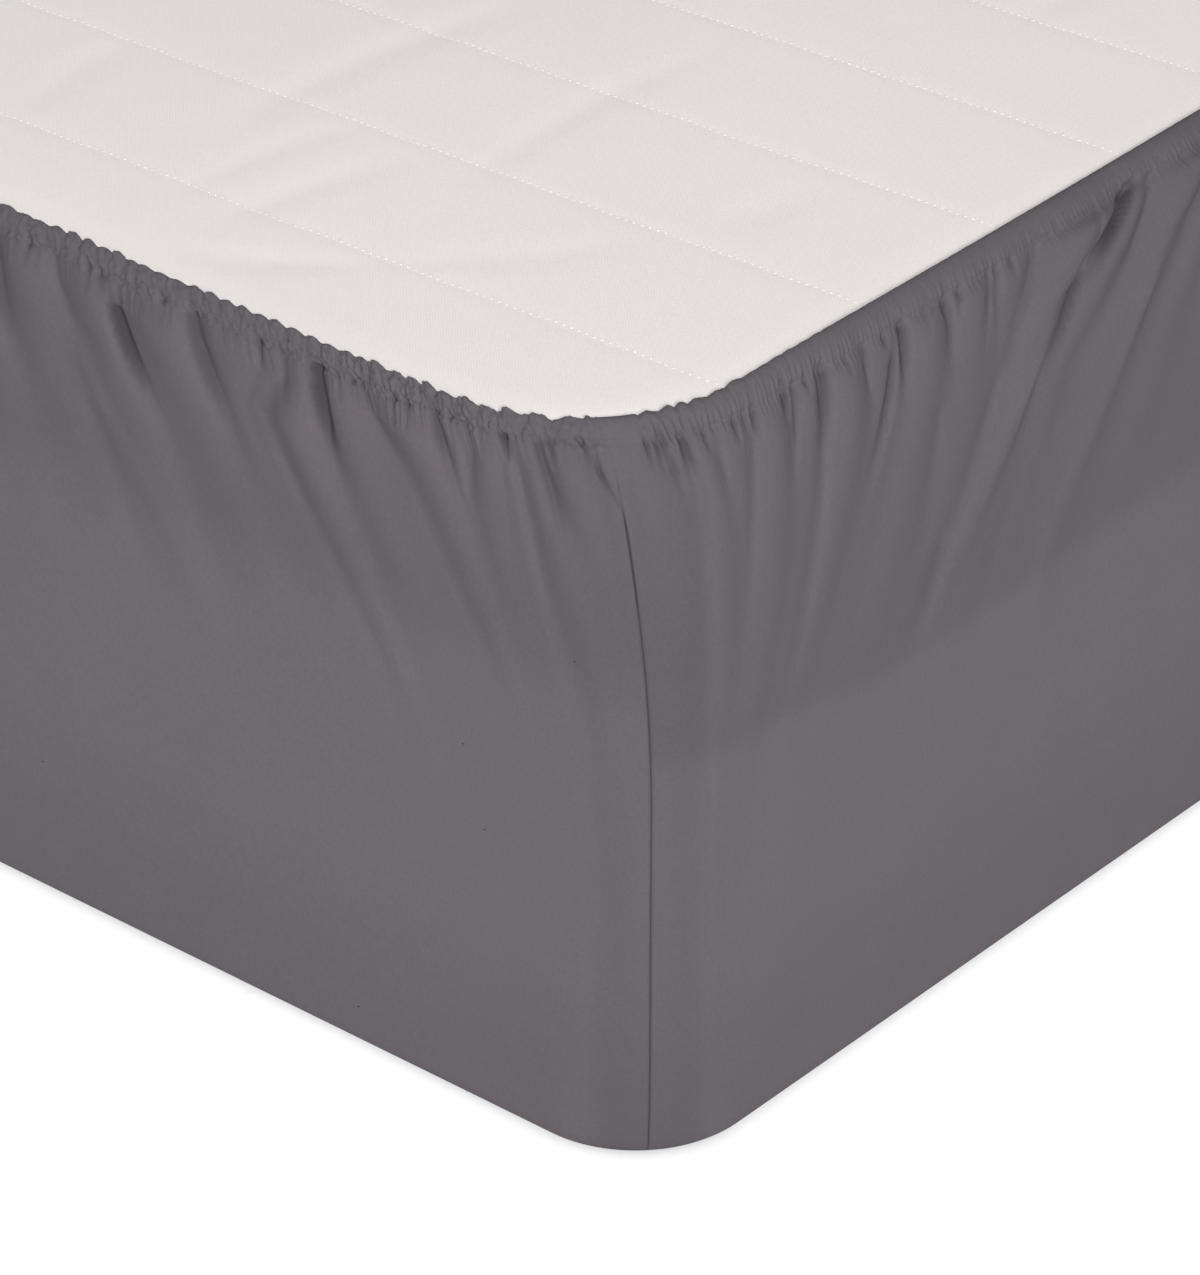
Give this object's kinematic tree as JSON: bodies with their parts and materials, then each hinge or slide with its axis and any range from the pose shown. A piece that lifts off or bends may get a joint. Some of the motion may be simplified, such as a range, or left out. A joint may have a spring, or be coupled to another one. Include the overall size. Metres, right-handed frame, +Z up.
{
  "type": "fitted sheet on a mattress",
  "caption": "Fitted sheet with a gathered elastic hem and corner seams, pulled over an upturned rectangular mattress with rows of stitching.",
  "frame": {"origin": "on the floor, under the middle of the sheet's own box", "axes": "+Z up, from the sheet's panel on the floor to its gathered hem; +X across the mattress, +Y along it"},
  "size_m": [0.9094, 1.9178, 0.3012],
  "materials": {
    "grey_cloth": "matt plain-woven cloth, mid grey",
    "cream_ticking": "matt quilted ticking, warm white"
  },
  "bodies": {
    "root": {"fitted_sheet": "grey_cloth", "mattress": "cream_ticking"}
  },
  "joints": []
}
